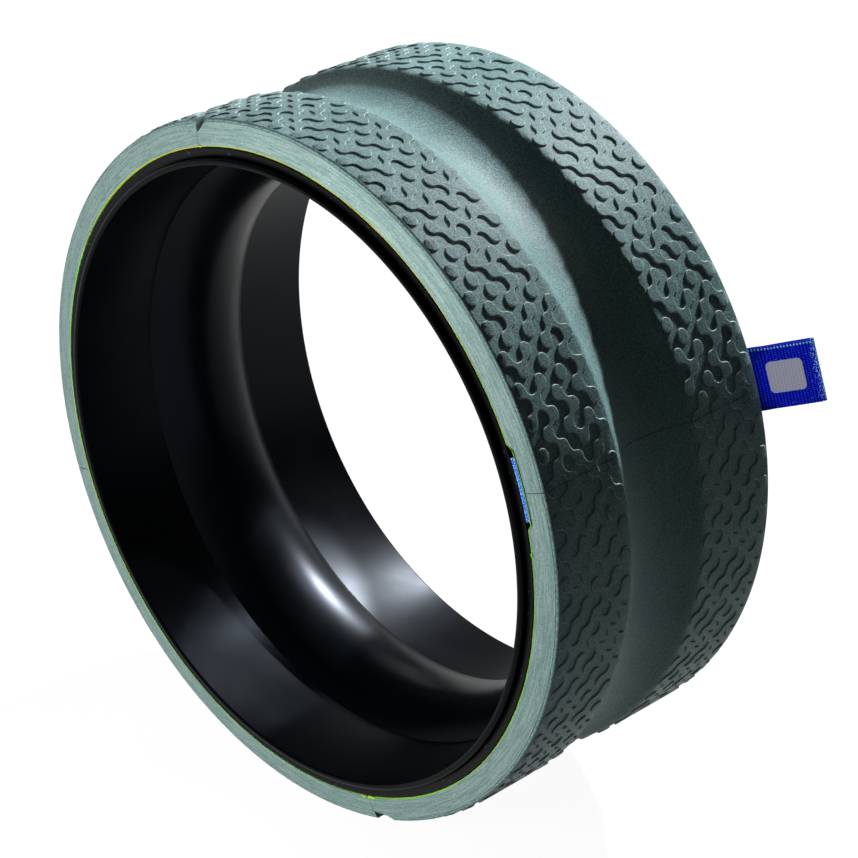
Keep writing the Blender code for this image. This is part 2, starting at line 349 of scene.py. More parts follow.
def quarter_disc(flip_u, flip_v, whole, raised=True):
    """Points and faces of a raised or sunk quarter disc about a tile's corner, and the flat beyond it.

    The points are (u, v, height, painted highlight) in tiles. A whole tile has two discs, about opposite
    corners. A half row has one, and its flat runs on to the half row's edge. A wall is steep, and rounded
    at its top, where a pale highlight is painted on the foam.
    """
    side = 1 if raised else -1
    rings = [(0.5 + side * offset, height, painted_highlight) for offset, height, painted_highlight in WALL_RINGS[::side]]
    disc_height = 1.0 if raised else 0.0
    turns = [math.pi / 2 * i / ARC_STEPS for i in range(ARC_STEPS + 1)]
    points = []
    faces = []

    def add_disc(centre, sign):
        first = len(points)
        points.append((centre, centre, disc_height, 0.0))
        for radius, height, painted_highlight in rings:
            for t in turns:
                u = centre + sign * radius * math.cos(t)
                v = centre + sign * radius * math.sin(t)
                points.append((u, v, height, painted_highlight))
        count = ARC_STEPS + 1
        for i in range(ARC_STEPS):
            faces.append((first, first + 1 + i, first + 2 + i))
        for ring in range(len(rings) - 1):
            row = first + 1 + ring * count
            for i in range(ARC_STEPS):
                faces.append((row + i, row + count + i, row + count + i + 1, row + i + 1))
        return first + 1 + (len(rings) - 1) * count

    near = add_disc(0.0, 1)
    if whole:
        far = add_disc(1.0, -1)
        corners = len(points)
        points.extend([(1.0, 0.0, 1 - disc_height, 0.0), (0.0, 1.0, 1 - disc_height, 0.0)])
        for i in range(ARC_STEPS):
            faces.append((near + i, far + ARC_STEPS - i, far + ARC_STEPS - i - 1, near + i + 1))
        faces.append((near, corners, far + ARC_STEPS))
        faces.append((near + ARC_STEPS, far, corners + 1))
    else:
        corners = len(points)
        points.append((1.0, 0.0, 0.0, 0.0))
        points.extend([(u, HALF_ROW, 0.0, 0.0) for u in (1.0, 0.5, 0.0)])
        faces.append((near, corners, corners + 1))
        middle = ARC_STEPS // 2
        for i in range(middle):
            faces.append((near + i, corners + 1, near + i + 1))
        faces.append((near + middle, corners + 1, corners + 2))
        for i in range(middle, ARC_STEPS):
            faces.append((near + i, corners + 2, near + i + 1))
        faces.append((near + ARC_STEPS, corners + 2, corners + 3))
    if flip_u:
        points = [(1 - u, v, height, painted_highlight) for u, v, height, painted_highlight in points]
    if flip_v:
        points = [(u, -v, height, painted_highlight) for u, v, height, painted_highlight in points]
    if flip_u != flip_v:
        faces = [tuple(reversed(face)) for face in faces]
    return points, faces


whole_tiles = {
    (flip, raised): quarter_disc(flip, False, True, raised)
    for flip in (False, True) for raised in (False, True)
}
outer_halves = [quarter_disc(flip, True, False) for flip in (False, True)]
inner_halves = [quarter_disc(flip, False, False) for flip in (False, True)]


def make_pad(index):
    """One pad as a closed skin: the tiles on both bands, the groove, the faces and the glued side."""
    chance = random.Random(TILE_SEED + index)
    gap = SEAM_GAP / 2 / tread_radius
    start = SEAM_ANGLE + index * FULL_TURN / PAD_COUNT + gap
    pitch = (FULL_TURN / PAD_COUNT - 2 * gap) / TILES_ROUND
    mesh = bmesh.new()
    # Each point's share of a painted highlight, pale along the tops of the maze's walls.
    painted_highlight_layer = mesh.verts.layers.float.new("painted_highlight")

    def place(u, y, height=0.0, radius=None):
        relief = TREAD_RELIEF * max(0.0, min(1.0, (RELIEF_END - abs(y)) / RELIEF_FADE))
        reach = (base_height(y) if radius is None else radius) + height * relief
        angle = start + u * pitch
        return mesh.verts.new((reach * math.cos(angle), y, reach * math.sin(angle)))

    def add_tile(template, column, row, side):
        points, faces = template
        verts = []
        for u, v, height, painted_highlight in points:
            y = side * (outer_row - (row + v) * row_pitch)
            vertex = place(column + u, y, height)
            vertex[painted_highlight_layer] = painted_highlight
            verts.append(vertex)
        for face in faces:
            mesh.faces.new([verts[i] for i in face])

    parity = index % 2
    for side in (-1, 1):
        for column in range(TILES_ROUND):
            for row in range(TILE_ROWS):
                high_corner = (column + row + parity) % 2 == 0
                flip = chance.random() >= 0.5
                add_tile(whole_tiles[flip, high_corner != flip], column, row, side)
            high_corner = (column + parity) % 2 == 0
            add_tile(outer_halves[0 if high_corner else 1], column, 0, side)
            high_corner = (column + TILE_ROWS + parity) % 2 == 0
            add_tile(inner_halves[0 if high_corner else 1], column, TILE_ROWS, side)

    stations = [i / 2 for i in range(2 * TILES_ROUND + 1)]
    groove_half = inner_row - HALF_ROW * row_pitch
    groove = [(groove_half * (2 * i / GROOVE_STEPS - 1), None) for i in range(GROOVE_STEPS + 1)]
    edge = outer_row + HALF_ROW * row_pitch
    face_top = base_radius - FACE_ROUND
    first_turn = math.asin((edge - pad_end + FACE_ROUND) / FACE_ROUND)
    rounding = []
    for i in range(ROUNDING_STEPS + 1):
        t = first_turn + (math.pi / 2 - first_turn) * i / ROUNDING_STEPS
        y = pad_end - FACE_ROUND + FACE_ROUND * math.sin(t)
        rounding.append((-y, face_top + FACE_ROUND * math.cos(t)))
    face_line = [(-pad_end, face_top), (-pad_end + FACE_LINE, face_top - FACE_LINE / 2)]
    face = [
        (-pad_end - FACE_SLANT * share, face_top - FACE_LINE - (face_top - FACE_LINE - pad_inner) * share)
        for share in FACE_SHARES
    ]
    inner = [(y, radius) for radius, y in dipped_line(pad_inner, pad_inner_end)]

    def mirrored(strip):
        return [(-y, radius) for y, radius in strip]

    strips = [(groove, SKIN), (rounding, SKIN), (mirrored(rounding), SKIN), (inner, SLICED)]
    strips += [(part, SLICED) for half in (face_line + face[:1], face) for part in (half, mirrored(half))]
    for strip, finish in strips:
        rows = [[place(u, y, 0.0, radius) for u in stations] for y, radius in strip]
        for lower, upper in zip(rows, rows[1:]):
            for i in range(len(stations) - 1):
                mesh.faces.new((lower[i], lower[i + 1], upper[i + 1], upper[i])).material_index = finish
    bmesh.ops.remove_doubles(mesh, verts=mesh.verts, dist=PAD_WELD)
    open_edges = [e for e in mesh.edges if e.is_boundary]
    for station in (0, TILES_ROUND):
        angle = start + station * pitch
        out = Vector((-math.sin(angle), 0, math.cos(angle)))
        loop = [e for e in open_edges if all(abs(v.co.dot(out)) < SEAM_TOLERANCE for v in e.verts)]
        for item in bmesh.ops.triangle_fill(mesh, use_beauty=True, edges=loop)["geom"]:
            if isinstance(item, bmesh.types.BMFace):
                item.material_index = SLICED
    bmesh.ops.recalc_face_normals(mesh, faces=mesh.faces)
    # The knife that parted the pads wandered a little from one end to the other.
    for vertex in mesh.verts:
        wander = SEAM_WAVE * math.sin(math.pi * vertex.co.y / pad_end) / tread_radius
        vertex.co = Matrix.Rotation(wander, 3, "Y") @ vertex.co
    data = bpy.data.meshes.new("foam_pad_%d_moulded" % (index + 1))
    mesh.to_mesh(data)
    mesh.free()
    for _ in (SKIN, SLICED, TORN):
        data.materials.append(None)
    pad = bpy.data.objects.new(data.name, data)
    bpy.context.scene.collection.objects.link(pad)
    return pad


def cut_away(piece, cutter):
    """Takes a cutter out of a piece. The cut faces keep the cutter's material number."""
    bpy.ops.object.select_all(action="DESELECT")
    bpy.context.view_layer.objects.active = piece
    piece.select_set(True)
    cut = piece.modifiers.new("cut", "BOOLEAN")
    cut.operation = "DIFFERENCE"
    cut.solver = "EXACT"
    cut.material_mode = "INDEX"
    cut.object = cutter
    bpy.ops.object.modifier_apply(modifier=cut.name)
    bpy.data.objects.remove(cutter)


pads = [make_pad(index) for index in range(PAD_COUNT)]

# The ribbon's channel in the glued side of the first and last pads, with eased sides.
CHANNEL_WIDTH = 0.0352
CHANNEL_SHIFT = 0.0025
CHANNEL_DEPTH = 0.0019
CHANNEL_EASE = math.radians(0.9)
CHANNEL_STEPS = 94
CUTTER_SPARE = 0.003
ROOF_TOLERANCE = 0.0001
channel_roof = pad_inner + CHANNEL_DEPTH
channel_middle = SEAM_ANGLE + CHANNEL_SHIFT / channel_roof
channel_half = CHANNEL_WIDTH / 2 / channel_roof


def channel_lift(angle):
    """How far the channel lifts the glued side of the pads at an angle round the wheel."""
    inside = (channel_half - abs(angle - channel_middle)) / CHANNEL_EASE
    share = max(0.0, min(1.0, inside))
    return CHANNEL_DEPTH * share * share * (3 - 2 * share)


for pad in (pads[0], pads[-1]):
    floor_line = dipped_line(pad_inner - CUTTER_SPARE, pad_inner_end + CUTTER_SPARE)
    outline = dipped_line(channel_roof, pad_inner_end + CUTTER_SPARE) + list(reversed(floor_line))
    cutter = turned_ring("cutter", outline, channel_middle - channel_half, 2 * channel_half, CHANNEL_STEPS)
    for vertex in cutter.data.vertices:
        reach = math.hypot(vertex.co.x, vertex.co.z)
        if reach + dip(vertex.co.y) > channel_roof - ROOF_TOLERANCE:
            angle = math.atan2(vertex.co.z, vertex.co.x)
            shrink = 1 - (CHANNEL_DEPTH - channel_lift(angle)) / reach
            vertex.co.x *= shrink
            vertex.co.z *= shrink
    for _ in (SKIN, SLICED):
        cutter.data.materials.append(None)
    for polygon in cutter.data.polygons:
        polygon.material_index = SLICED
    cut_away(pad, cutter)

# A torn corner at the top seam and one at the bottom seam: one sharp and deep, one long and shallow. Each
# is a pad's number, its place in degrees, its length, width and depth, and how round it is.
NICKS = (
    (0, 110.25, (0.0076, 0.0052, 0.0066), 1.15),
    (3, 290.25, (0.0120, 0.0040, 0.0042), 2.0),
)
NICK_ROUGHNESS = 0.0005
NICK_CELLS_PER_METRE = 900
NICK_SEED = 5
noise.seed_set(NICK_SEED)
for index, degrees, (length, width, depth), roundness in NICKS:
    angle = math.radians(degrees)
    bpy.ops.object.select_all(action="DESELECT")
    bpy.ops.mesh.primitive_ico_sphere_add(subdivisions=5, radius=1)
    cutter = bpy.context.object
    out = Vector((math.cos(angle), 0, math.sin(angle)))
    round_wheel = Vector((-math.sin(angle), 0, math.cos(angle)))
    corner = out * tread_radius - Vector((0, pad_end, 0))
    for vertex in cutter.data.vertices:
        p = vertex.co
        spread = sum(abs(c) ** roundness for c in p) ** (1 / roundness)
        reach = out * p.x * depth + round_wheel * p.z * length + Vector((0, p.y * width, 0))
        place = corner + reach / spread
        vertex.co = place + noise.noise_vector(place * NICK_CELLS_PER_METRE) * NICK_ROUGHNESS
    for _ in (SKIN, SLICED, TORN):
        cutter.data.materials.append(None)
    for polygon in cutter.data.polygons:
        polygon.material_index = TORN
    cut_away(pads[index], cutter)

SHARP_FROM = math.radians(50)
for number, pad in enumerate(pads, 1):
    pad.data.shade_smooth()
    pad.data.set_sharp_from_angle(angle=SHARP_FROM)
    bpy.ops.object.select_all(action="DESELECT")
    bpy.context.view_layer.objects.active = pad
    pad.select_set(True)
    flats = pad.modifiers.new("flats", "WEIGHTED_NORMAL")
    flats.keep_sharp = True
    bpy.ops.object.modifier_apply(modifier=flats.name)
    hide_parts("foam_pad_%d" % number)
    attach(pad, "wheel")

# Closed-cell foam with a moulded skin: matt, with the fine speckle that the mould's grit leaves, and a
# painted highlight, pale along the tops of the maze's walls.
SKIN_GRAIN = 0.0008
PATCHES_PER_METRE = 28.0
skin, shader = new_material("moulded_foam_skin")
place = node(skin, "TexCoord").outputs["Object"]
grain = node(skin, "TexNoise", {"Vector": place, "Scale": 1 / SKIN_GRAIN, "Detail": 3.0, "Roughness": 0.65})
patch = node(skin, "TexNoise", {"Vector": place, "Scale": PATCHES_PER_METRE, "Detail": 2.0})
mixed = node(
    skin, "Math",
    {0: patch.outputs["Fac"], 1: 0.35, 2: grain.outputs["Fac"]},
    operation="MULTIPLY_ADD",
)
colour = node(skin, "ValToRGB", {"Fac": mixed.outputs[0]})
colour.color_ramp.elements[0].position = 0.50
colour.color_ramp.elements[0].color = linear("#557372")
colour.color_ramp.elements[1].position = 0.84
colour.color_ramp.elements[1].color = linear("#97b7b5")
# Painted highlight: along the tops of the maze's walls the colour is mixed towards a pale one.
painted_highlight = node(skin, "Attribute", attribute_name="painted_highlight")
highlighted_skin_colour = node(
    skin, "Mix",
    {"Factor": painted_highlight.outputs["Fac"], 6: colour.outputs["Color"], 7: linear("#cfe0de")},
    data_type="RGBA",
)
skin.node_tree.links.new(highlighted_skin_colour.outputs[2], shader.inputs["Base Color"])
bump = node(skin, "Bump", {"Height": grain.outputs["Fac"], "Strength": 0.8, "Distance": 0.00025})
skin.node_tree.links.new(bump.outputs[0], shader.inputs["Normal"])
shader.inputs["Roughness"].default_value = 0.5
shader.inputs["Specular IOR Level"].default_value = 0.13

# The same foam where a blade has sliced it: paler, with cells drawn out into long wavy streaks. Round the
# wheel, a radian counts as STREAK_RADIAN metres, which draws them out.
CELL = 0.0007
STREAK_WIDTH = 0.0013
STREAK_RADIAN = 0.006
sliced, shader = new_material("sliced_foam")
place = node(sliced, "TexCoord").outputs["Object"]
radius, turn = wheel_coordinates(sliced)
cells = node(sliced, "TexNoise", {"Vector": place, "Scale": 1 / CELL, "Detail": 4.0, "Roughness": 0.7})
round_way = node(sliced, "Math", {0: turn, 1: STREAK_RADIAN}, operation="MULTIPLY")
drawn = node(sliced, "CombineXYZ", {"X": radius, "Y": round_way.outputs[0]})
streaks = node(
    sliced, "TexNoise",
    {"Vector": drawn.outputs[0], "Scale": 1 / STREAK_WIDTH, "Detail": 3.0, "Roughness": 0.6,
     "Distortion": 0.4},
)
off_line = node(sliced, "Math", {0: streaks.outputs["Fac"], 1: 0.5}, operation="SUBTRACT")
off_line = node(sliced, "Math", {0: off_line.outputs[0]}, operation="ABSOLUTE")
line = node(sliced, "ValToRGB", {"Fac": off_line.outputs[0]})
line.color_ramp.elements[0].position = 0.010
line.color_ramp.elements[0].color = linear("#84a09b")
line.color_ramp.elements[1].position = 0.080
line.color_ramp.elements[1].color = linear("#a0b7b3")
speckle = node(sliced, "ValToRGB", {"Fac": cells.outputs["Fac"]})
speckle.color_ramp.elements[0].position = 0.34
speckle.color_ramp.elements[0].color = linear("#c8d2d0")
speckle.color_ramp.elements[1].position = 0.60
speckle.color_ramp.elements[1].color = linear("#ffffff")
shade = node(
    sliced, "Mix",
    {"Factor": 1.0, 6: line.outputs["Color"], 7: speckle.outputs["Color"]},
    data_type="RGBA", blend_type="MULTIPLY",
)
sliced.node_tree.links.new(shade.outputs[2], shader.inputs["Base Color"])
height = node(
    sliced, "Math",
    {0: streaks.outputs["Fac"], 1: 2.0, 2: cells.outputs["Fac"]},
    operation="MULTIPLY_ADD",
)
bump = node(sliced, "Bump", {"Height": height.outputs[0], "Strength": 0.6, "Distance": 0.00025})
sliced.node_tree.links.new(bump.outputs[0], shader.inputs["Normal"])
shader.inputs["Roughness"].default_value = 0.85
shader.inputs["Specular IOR Level"].default_value = 0.2

# Torn foam: open cells, with bumps for them. Its colour is painted shade: darker than the other foam, and
# darkest in each cell's hollow.
torn, shader = new_material("torn_foam")
place = node(torn, "TexCoord").outputs["Object"]
pores = node(torn, "TexVoronoi", {"Vector": place, "Scale": 1 / CELL})
# Painted shade: dark in the hollow of each cell, paler on its walls.
colour = node(torn, "ValToRGB", {"Fac": pores.outputs["Distance"]})
colour.color_ramp.elements[0].position = 0.1
colour.color_ramp.elements[0].color = linear("#2c3a39")
colour.color_ramp.elements[1].position = 0.7
colour.color_ramp.elements[1].color = linear("#7f9592")
torn.node_tree.links.new(colour.outputs["Color"], shader.inputs["Base Color"])
bump = node(torn, "Bump", {"Height": pores.outputs["Distance"], "Strength": 0.9, "Distance": 0.0005})
torn.node_tree.links.new(bump.outputs[0], shader.inputs["Normal"])
shader.inputs["Roughness"].default_value = 0.9
for pad in pads:
    for number, material in ((SKIN, skin), (SLICED, sliced), (TORN, torn)):
        pad.data.materials[number] = material


# Adhesive
# A yellow-green contact adhesive between each pad and the hoop. It is squeezed out along the edges as a
# fine line, round the ribbon's channel too, and in a few blobs at the seams.
FILM_THICKNESS = 0.0004
FILM_SETBACK = 0.0009
FILM_SEAT = 0.0003
FILM_STEPS = 90
BEAD_SIZE = 0.00020
BEAD_SINK = 0.0001
BEAD_UNEVEN = 0.5
BEAD_WAVES = 9
BEAD_RIPPLES = 40
RIPPLE_SHARE = 0.6
END_SHIFT = 5
BEAD_THIN_SHARE = 0.4
BEAD_THIN_BELOW = -0.95
BEAD_STEPS = 180
BEAD_SIDES = 8
# Each blob is a pad's number, its place in degrees, its size and its length.
BLOBS = (
    (3, 291.1, 0.0007, 0.0026),
    (2, 289.4, 0.0006, 0.0014),
    (0, 109.7, 0.0004, 0.0010),
    (3, 370.2, 0.0006, 0.0010),
)
BLOB_FLATNESS = 0.0005
BLOB_UNEVEN = 0.35
BLOB_WAVES = 1.4
BLOB_CELLS_PER_METRE = 900


def make_bead(index, side):
    """The squeezed-out line along one end of a pad, uneven and thinnest below, round the channel too."""
    bead = bmesh.new()
    rings = []
    for i in range(BEAD_STEPS + 1):
        angle = SEAM_ANGLE + (index + i / BEAD_STEPS) * FULL_TURN / PAD_COUNT
        out = Vector((math.cos(angle), 0, math.sin(angle)))
        lift = max(channel_lift(angle), channel_lift(angle - FULL_TURN))
        waves = noise.noise(out * BEAD_WAVES + Vector((0, side * END_SHIFT, 0)))
        uneven = waves + RIPPLE_SHARE * noise.noise(out * BEAD_RIPPLES)
        above = min(1.0, max(0.0, 2 * (out.z - BEAD_THIN_BELOW)))
        size = BEAD_SIZE * (1 + BEAD_UNEVEN * uneven) * (BEAD_THIN_SHARE + (1 - BEAD_THIN_SHARE) * above)
        centre = out * (pad_inner + lift - BEAD_SINK) + Vector((0, side * (pad_inner_end - BEAD_SINK), 0))
        ring = []
        for corner in range(BEAD_SIDES):
            t = FULL_TURN * corner / BEAD_SIDES
            ring.append(bead.verts.new(centre + (out * math.cos(t) + Vector((0, math.sin(t), 0))) * size))
        rings.append(ring)
    for near, far in zip(rings, rings[1:]):
        for corner in range(BEAD_SIDES):
            after = (corner + 1) % BEAD_SIDES
            bead.faces.new((near[corner], near[after], far[after], far[corner]))
    bead.faces.new(rings[0])
    bead.faces.new(rings[-1])
    bmesh.ops.recalc_face_normals(bead, faces=bead.faces)
    data = bpy.data.meshes.new("bead")
    bead.to_mesh(data)
    bead.free()
    piece = bpy.data.objects.new("bead", data)
    bpy.context.scene.collection.objects.link(piece)
    return piece


def soft_blob(degrees, size, length):
    """A small uneven drop of adhesive, drawn out along the pad's inner edge and flattened against it."""
    angle = math.radians(degrees)
    out = Vector((math.cos(angle), 0, math.sin(angle)))
    round_wheel = Vector((-math.sin(angle), 0, math.cos(angle)))
    place = out * pad_inner - Vector((0, pad_inner_end, 0))
    bpy.ops.object.select_all(action="DESELECT")
    bpy.ops.mesh.primitive_ico_sphere_add(subdivisions=4, radius=1)
    drop = bpy.context.object
    for vertex in drop.data.vertices:
        uneven = noise.noise(vertex.co * BLOB_WAVES + place * BLOB_CELLS_PER_METRE)
        p = vertex.co * (1 + BLOB_UNEVEN * uneven)
        flat = Vector((0, p.y * BLOB_FLATNESS, 0))
        vertex.co = place + out * p.x * size + round_wheel * p.z * length + flat
    return drop


# Contact adhesive, squeezed out and dried: rubbery with a soft gloss, yellow-green, and yellower higher up.
DRIFT_PER_METRE = 24.0
YELLOW_FROM = 0.05
YELLOW_TO = 0.13
adhesive, shader = new_material("contact_adhesive")
place = node(adhesive, "TexCoord").outputs["Object"]
drift = node(adhesive, "TexNoise", {"Vector": place, "Scale": DRIFT_PER_METRE, "Detail": 2.0})
height = node(adhesive, "SeparateXYZ", {0: place}).outputs["Z"]
upper = node(adhesive, "MapRange", {"Value": height, 1: YELLOW_FROM, 2: YELLOW_TO, 3: 0.0, 4: 0.4})
ripe = node(adhesive, "Math", {0: drift.outputs["Fac"], 1: upper.outputs[0]}, operation="ADD")
colour = node(adhesive, "ValToRGB", {"Fac": ripe.outputs[0]})
colour.color_ramp.elements[0].position = 0.45
colour.color_ramp.elements[0].color = linear("#84d626")
colour.color_ramp.elements[1].position = 0.85
colour.color_ramp.elements[1].color = linear("#c6c437")
adhesive.node_tree.links.new(colour.outputs["Color"], shader.inputs["Base Color"])
shader.inputs["Roughness"].default_value = 0.35

film_outer = hoop_radius + FILM_SEAT + FILM_THICKNESS
film_end = pad_inner_end - FILM_SETBACK
for index in range(PAD_COUNT):
    first = SEAM_ANGLE + index * FULL_TURN / PAD_COUNT
    last = first + FULL_TURN / PAD_COUNT
    if index == 0:
        first = channel_middle + channel_half
    if index == PAD_COUNT - 1:
        last = channel_middle - channel_half + FULL_TURN
    outline = dipped_line(film_outer, film_end)
    outline += list(reversed(dipped_line(hoop_radius + FILM_SEAT, film_end)))
    film = turned_ring("glue_film_%d_squeezed" % (index + 1), outline, first, last - first, FILM_STEPS)
    extras = [make_bead(index, -1), make_bead(index, 1)]
    extras += [soft_blob(*blob) for pad_index, *blob in BLOBS if pad_index == index]
    bpy.ops.object.select_all(action="DESELECT")
    for extra in extras:
        extra.select_set(True)
    film.select_set(True)
    bpy.context.view_layer.objects.active = film
    bpy.ops.object.join()
    bpy.ops.object.shade_smooth_by_angle(angle=SHARP_FROM)
    film.data.materials.clear()
    film.data.materials.append(adhesive)
    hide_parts("glue_film_%d" % (index + 1))
    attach(film, "wheel")


# Ribbon
# A blue grosgrain ribbon, folded double. It lies in its channel on the hoop with its cut ends at the front,
# bends up behind the foam, and its fold stands out there as a tag.
RIBBON_WIDTH = 0.026
RIBBON_SHIFT = 0.0015
PLY = 0.0008
PLY_PITCH = 0.0009
RIB_PITCH = 0.00135
TAG_LENGTH = 0.0322
TAG_TILT = math.radians(60.8)
TAG_BEND = 0.0020
TAG_SLOT = 0.0020
TAG_ROOT_SLOT = 0.0002
TAG_SLOT_LENGTH = 0.0235
TAG_FLAT_FROM = 0.012
FRONT_END = 0.0638
INNER_PLY_AHEAD = 0.0002
STRAP_SEAT = 0.0003
STRAP_POINTS = 400
BEND_POINTS = 12
TAG_POINTS = 120
FOLD_POINTS = 24
RIB_HEIGHTS = (1.0, 0.9, 0.8, 0.9)
ACROSS_STEPS = 16
strap_radius = hoop_radius + STRAP_SEAT + PLY_PITCH
ribbon_angle = SEAM_ANGLE + RIBBON_SHIFT / strap_radius
pivot = Vector(frame["joints"][0]["pos_m"])
tag_out = Vector((math.cos(ribbon_angle), 0, math.sin(ribbon_angle)))
tag_across = Vector((-math.sin(ribbon_angle), 0, math.cos(ribbon_angle)))
tag_direction = Vector((0, math.cos(TAG_TILT), 0)) + tag_out * math.sin(TAG_TILT)


def tag_half_gap(x):
    """Half the distance between the middles of the two plies at a distance along the tag."""
    share = min(1.0, x / TAG_SLOT_LENGTH)
    eased = share * share * (3 - 2 * share)
    return PLY_PITCH / 2 + TAG_ROOT_SLOT / 2 + eased * (TAG_SLOT - TAG_ROOT_SLOT) / 2


def ribbon_line():
    """The ribbon's line as (y, radius, flatness): the outer ply rearwards, the fold, the inner ply back."""
    middle = []
    tangent = TAG_BEND * math.tan(TAG_TILT / 2)
    bend_y = pivot.y - tangent
    for i in range(STRAP_POINTS + 1):
        y = -FRONT_END + (bend_y + FRONT_END) * i / STRAP_POINTS
        middle.append((y, strap_radius - dip(y), 0.0, PLY_PITCH / 2, 0.0))
    for i in range(1, BEND_POINTS):
        t = TAG_TILT * i / BEND_POINTS
        y = bend_y + TAG_BEND * math.sin(t)
        middle.append((y, strap_radius + TAG_BEND * (1 - math.cos(t)), t, PLY_PITCH / 2, 0.0))
    end_gap = tag_half_gap(TAG_LENGTH)
    straight = TAG_LENGTH - end_gap - PLY / 2
    for i in range(TAG_POINTS + 1):
        x = tangent + (straight - tangent) * i / TAG_POINTS
        y = pivot.y + x * math.cos(TAG_TILT)
        share = min(1.0, x / TAG_FLAT_FROM)
        flat = share * share * (3 - 2 * share)
        middle.append((y, strap_radius + x * math.sin(TAG_TILT), TAG_TILT, tag_half_gap(x), flat))
    outer = [(y - h * math.sin(t), r + h * math.cos(t), flat) for y, r, t, h, flat in middle]
    inner = [(y + h * math.sin(t), r - h * math.cos(t), flat) for y, r, t, h, flat in middle]
    inner[0] = (inner[0][0] - INNER_PLY_AHEAD, inner[0][1], 0.0)
    y, r = middle[-1][:2]
    fold = []
    for i in range(1, FOLD_POINTS):
        t = TAG_TILT + math.pi / 2 - math.pi * i / FOLD_POINTS
        fold.append((y + end_gap * math.cos(t), r + end_gap * math.sin(t), 1.0))
    return outer + fold + list(reversed(inner))


# The line is divided evenly, so that the weave runs on at one pitch. Each rib takes four stations.
path = ribbon_line()
lengths = [0.0]
for before, after in zip(path, path[1:]):
    lengths.append(lengths[-1] + math.dist(before[:2], after[:2]))
ribbon_length = lengths[-1]
along_steps = round(ribbon_length / (RIB_PITCH / len(RIB_HEIGHTS)))
stations = []
passed = 0
for i in range(along_steps + 1):
    target = ribbon_length * i / along_steps
    while passed < len(path) - 2 and lengths[passed + 1] < target:
        passed += 1
    share = (target - lengths[passed]) / (lengths[passed + 1] - lengths[passed])
    stations.append([a + (b - a) * share for a, b in zip(path[passed], path[passed + 1])])

bpy.ops.object.select_all(action="DESELECT")
bpy.ops.mesh.primitive_grid_add(x_subdivisions=ACROSS_STEPS, y_subdivisions=along_steps, size=1)
ribbon = bpy.context.object
ribbon.name = "ribbon_folded"
rib_height = ribbon.vertex_groups.new(name="rib_height")
for vertex in ribbon.data.vertices:
    station = round((vertex.co.y + 0.5) * along_steps)
    rib_height.add([vertex.index], RIB_HEIGHTS[station % len(RIB_HEIGHTS)], "REPLACE")
    y, radius, flat = stations[station]
    width = vertex.co.x * RIBBON_WIDTH
    turn = ribbon_angle + width / strap_radius
    curved = Vector((radius * math.cos(turn), y, radius * math.sin(turn)))
    straight = tag_out * radius + tag_across * width + Vector((0, y, 0))
    vertex.co = curved.lerp(straight, flat)
thickness = ribbon.modifiers.new("ply", "SOLIDIFY")
thickness.thickness = PLY
thickness.offset = 0
thickness.vertex_group = rib_height.name
thickness.use_even_offset = False
bpy.ops.object.modifier_apply(modifier=thickness.name)
bpy.ops.object.shade_smooth_by_angle(angle=SHARP_FROM)
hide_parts("ribbon_strap", "tag_loop")
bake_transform(ribbon)

# Woven polyester grosgrain: ribs across its width with painted shade in the valleys between them, a
# thread's dot on each crossing, a dashed pale line along its upper selvedge, pale worn threads at the fold
# and the cut ends, and a plain printed panel.
THREAD_PITCH = 0.001
FUZZ_PER_METRE = 2200.0
grosgrain, shader = new_material("woven_polyester_grosgrain")
axes = node(grosgrain, "SeparateXYZ", {0: node(grosgrain, "TexCoord").outputs["UV"]})
across = node(grosgrain, "Math", {0: axes.outputs["X"], 1: RIBBON_WIDTH}, operation="MULTIPLY").outputs[0]
along = node(grosgrain, "Math", {0: axes.outputs["Y"], 1: ribbon_length}, operation="MULTIPLY").outputs[0]
flat_place = node(grosgrain, "CombineXYZ", {"X": across, "Y": along}).outputs[0]
rib_turn = node(grosgrain, "Math", {0: along, 1: FULL_TURN / RIB_PITCH}, operation="MULTIPLY").outputs[0]
rib = node(grosgrain, "Math", {0: rib_turn}, operation="COSINE").outputs[0]
crest = node(grosgrain, "MapRange", {"Value": rib, 1: -1.0, 2: 1.0}).outputs[0]
half_rib = node(grosgrain, "Math", {0: rib_turn, 1: 0.5}, operation="MULTIPLY").outputs[0]
thread_turn = node(
    grosgrain, "Math",
    {0: across, 1: FULL_TURN / THREAD_PITCH, 2: half_rib},
    operation="MULTIPLY_ADD",
)
thread = node(grosgrain, "Math", {0: thread_turn.outputs[0]}, operation="COSINE").outputs[0]
thread_high = node(grosgrain, "MapRange", {"Value": thread, 1: 0.2, 2: 1.0}).outputs[0]
dot = node(grosgrain, "Math", {0: thread_high, 1: crest}, operation="MULTIPLY").outputs[0]
fuzz = node(
    grosgrain, "TexNoise",
    {"Vector": flat_place, "Scale": FUZZ_PER_METRE, "Detail": 2.0},
).outputs["Fac"]
# Painted shade: the blue is darker in the valleys between the ribs and brighter on their crests.
weave_with_valley_shade = node(grosgrain, "ValToRGB", {"Fac": crest})
weave_with_valley_shade.color_ramp.elements[0].color = linear("#02046e")
weave_with_valley_shade.color_ramp.elements[1].position = 0.8
weave_with_valley_shade.color_ramp.elements[1].color = linear("#0310d4")
dotted = node(
    grosgrain, "Mix",
    {"Factor": node(grosgrain, "Math", {0: dot, 1: fuzz}, operation="MULTIPLY").outputs[0],
     6: weave_with_valley_shade.outputs["Color"], 7: linear("#3f66f4")},
    data_type="RGBA",
)
STITCH_FROM = RIBBON_WIDTH - 0.0012
STITCH_TO = RIBBON_WIDTH - 0.0005
past_start = node(grosgrain, "Math", {0: across, 1: STITCH_FROM}, operation="GREATER_THAN").outputs[0]
before_end = node(grosgrain, "Math", {0: across, 1: STITCH_TO}, operation="LESS_THAN").outputs[0]
